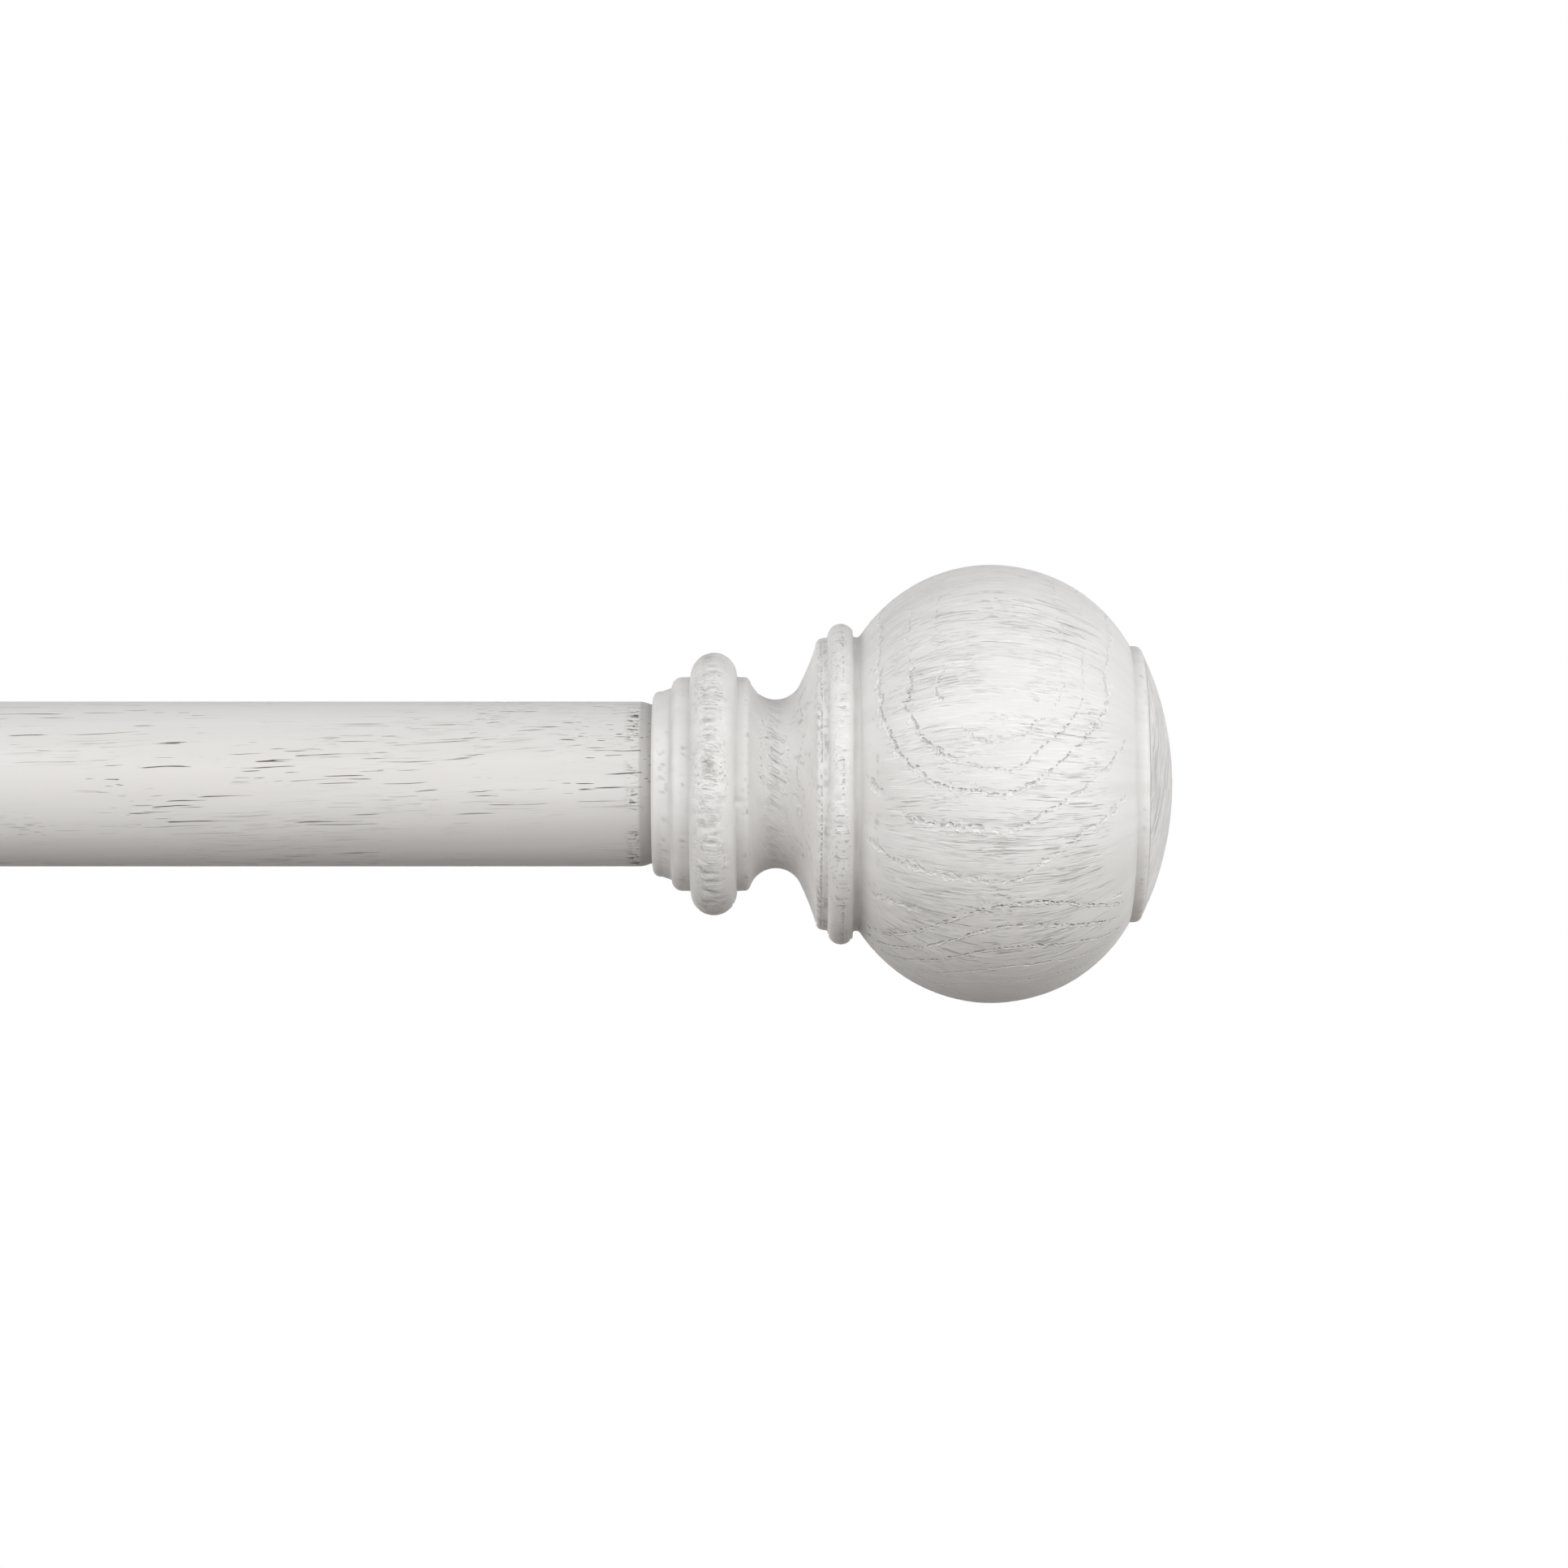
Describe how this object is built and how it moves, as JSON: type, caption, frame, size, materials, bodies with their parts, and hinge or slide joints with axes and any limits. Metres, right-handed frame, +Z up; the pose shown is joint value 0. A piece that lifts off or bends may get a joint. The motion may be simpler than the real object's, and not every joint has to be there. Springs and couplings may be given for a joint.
{
  "type": "curtain rod with brackets",
  "caption": "Telescoping curtain rod with screw-on turned ball finials, carried in open cradles on adjustable wall brackets with thumbscrew locks.",
  "frame": {"origin": "on the wall plane, midway between the two wall plates and level with the rod axis, which is the centre of the four wall screw holes", "axes": "+X along the rod towards the pictured right-hand finial, +Y into the wall, +Z up"},
  "size_m": [1.022, 0.1228, 0.084],
  "materials": {
    "rod_paint": "satin weathered white paint with fine grey-brown streaks along the tube",
    "finial_resin": "cast resin with wood-grain relief, weathered white with grey dry-brush marks",
    "bracket_paint": "satin weathered white paint",
    "knob_paint": "satin weathered white paint, fluted grip",
    "screw_steel": "zinc-plated thread",
    "insert_brass": "plain machined brass",
    "sleeve_nylon": "moulded off-white nylon",
    "plug_plastic": "moulded dark plastic"
  },
  "bodies": {
    "wall_brackets": {"right_wall_plate": "bracket_paint", "right_socket_screw": "screw_steel", "right_arm_socket": "bracket_paint", "left_wall_plate": "bracket_paint", "left_socket_screw": "screw_steel", "left_arm_socket": "bracket_paint"},
    "right_arm": {"right_arm": "bracket_paint", "right_cradle": "bracket_paint"},
    "left_arm": {"left_arm": "bracket_paint", "left_cradle": "bracket_paint"},
    "outer_tube": {"outer_tube": "rod_paint", "mouth_sleeve": "sleeve_nylon", "right_end_plug": "plug_plastic"},
    "inner_tube": {"inner_tube": "rod_paint", "glide_ring": "sleeve_nylon", "left_end_plug": "plug_plastic"},
    "right_finial_stud": {"right_finial_stud": "screw_steel"},
    "right_finial": {"right_finial": "finial_resin", "right_finial_insert": "insert_brass"},
    "right_arm_lock_shank": {"right_arm_lock_shank": "screw_steel"},
    "right_arm_lock_knob": {"right_arm_lock_knob": "knob_paint"},
    "right_rod_lock_shank": {"right_rod_lock_shank": "screw_steel"},
    "right_rod_lock_knob": {"right_rod_lock_knob": "knob_paint"},
    "left_finial_stud": {"left_finial_stud": "screw_steel"},
    "left_finial": {"left_finial": "finial_resin", "left_finial_insert": "insert_brass"},
    "left_arm_lock_shank": {"left_arm_lock_shank": "screw_steel"},
    "left_arm_lock_knob": {"left_arm_lock_knob": "knob_paint"},
    "left_rod_lock_shank": {"left_rod_lock_shank": "screw_steel"},
    "left_rod_lock_knob": {"left_rod_lock_knob": "knob_paint"}
  },
  "joints": [
    {"name": "right_arm_slide", "type": "slide", "parent": "wall_brackets", "child": "right_arm", "axis": [0, -1, 0], "range_m": [0, 0.03]},
    {"name": "left_arm_slide", "type": "slide", "parent": "wall_brackets", "child": "left_arm", "axis": [0, -1, 0], "range_m": [0, 0.03]},
    {"name": "rod_lift", "type": "slide", "parent": "right_arm", "child": "outer_tube", "axis": [0, 0, 1], "range_m": [0, 0.04]},
    {"name": "rod_extend", "type": "slide", "parent": "outer_tube", "child": "inner_tube", "axis": [-1, 0, 0], "range_m": [-0.138, 0.357]},
    {"name": "right_finial_travel", "type": "slide", "parent": "outer_tube", "child": "right_finial_stud", "axis": [1, 0, 0], "range_m": [0, 0.01397]},
    {"name": "right_finial_turn", "type": "hinge", "parent": "right_finial_stud", "child": "right_finial", "pos_m": [0.431, -0.089, 0], "axis": [1, 0, 0], "range_deg": [0, 3960]},
    {"name": "right_arm_lock_travel", "type": "slide", "parent": "wall_brackets", "child": "right_arm_lock_shank", "axis": [0, 0, -1], "range_m": [0, 0.0032]},
    {"name": "right_arm_lock_turn", "type": "hinge", "parent": "right_arm_lock_shank", "child": "right_arm_lock_knob", "pos_m": [0.281, -0.053, -0.02], "axis": [0, 0, -1], "range_deg": [0, 1440]},
    {"name": "right_rod_lock_travel", "type": "slide", "parent": "right_arm", "child": "right_rod_lock_shank", "axis": [0, 0, -1], "range_m": [0, 0.0032]},
    {"name": "right_rod_lock_turn", "type": "hinge", "parent": "right_rod_lock_shank", "child": "right_rod_lock_knob", "pos_m": [0.281, -0.089, -0.02], "axis": [0, 0, -1], "range_deg": [0, 1440]},
    {"name": "left_finial_travel", "type": "slide", "parent": "inner_tube", "child": "left_finial_stud", "axis": [-1, 0, 0], "range_m": [0, 0.01397]},
    {"name": "left_finial_turn", "type": "hinge", "parent": "left_finial_stud", "child": "left_finial", "pos_m": [-0.431, -0.089, 0], "axis": [-1, 0, 0], "range_deg": [0, 3960]},
    {"name": "left_arm_lock_travel", "type": "slide", "parent": "wall_brackets", "child": "left_arm_lock_shank", "axis": [0, 0, -1], "range_m": [0, 0.0032]},
    {"name": "left_arm_lock_turn", "type": "hinge", "parent": "left_arm_lock_shank", "child": "left_arm_lock_knob", "pos_m": [-0.281, -0.053, -0.02], "axis": [0, 0, -1], "range_deg": [0, 1440]},
    {"name": "left_rod_lock_travel", "type": "slide", "parent": "left_arm", "child": "left_rod_lock_shank", "axis": [0, 0, -1], "range_m": [0, 0.0032]},
    {"name": "left_rod_lock_turn", "type": "hinge", "parent": "left_rod_lock_shank", "child": "left_rod_lock_knob", "pos_m": [-0.281, -0.089, -0.02], "axis": [0, 0, -1], "range_deg": [0, 1440]}
  ],
  "couplings": [
    {"joint": "left_arm_slide", "follows": "right_arm_slide", "ratio": 1},
    {"joint": "right_finial_travel", "follows": "right_finial_turn", "m_per_rad": 0.00020213},
    {"joint": "right_arm_lock_travel", "follows": "right_arm_lock_turn", "m_per_rad": 0.00012732},
    {"joint": "right_rod_lock_travel", "follows": "right_rod_lock_turn", "m_per_rad": 0.00012732},
    {"joint": "left_finial_travel", "follows": "left_finial_turn", "m_per_rad": 0.00020213},
    {"joint": "left_arm_lock_travel", "follows": "left_arm_lock_turn", "m_per_rad": 0.00012732},
    {"joint": "left_rod_lock_travel", "follows": "left_rod_lock_turn", "m_per_rad": 0.00012732}
  ]
}
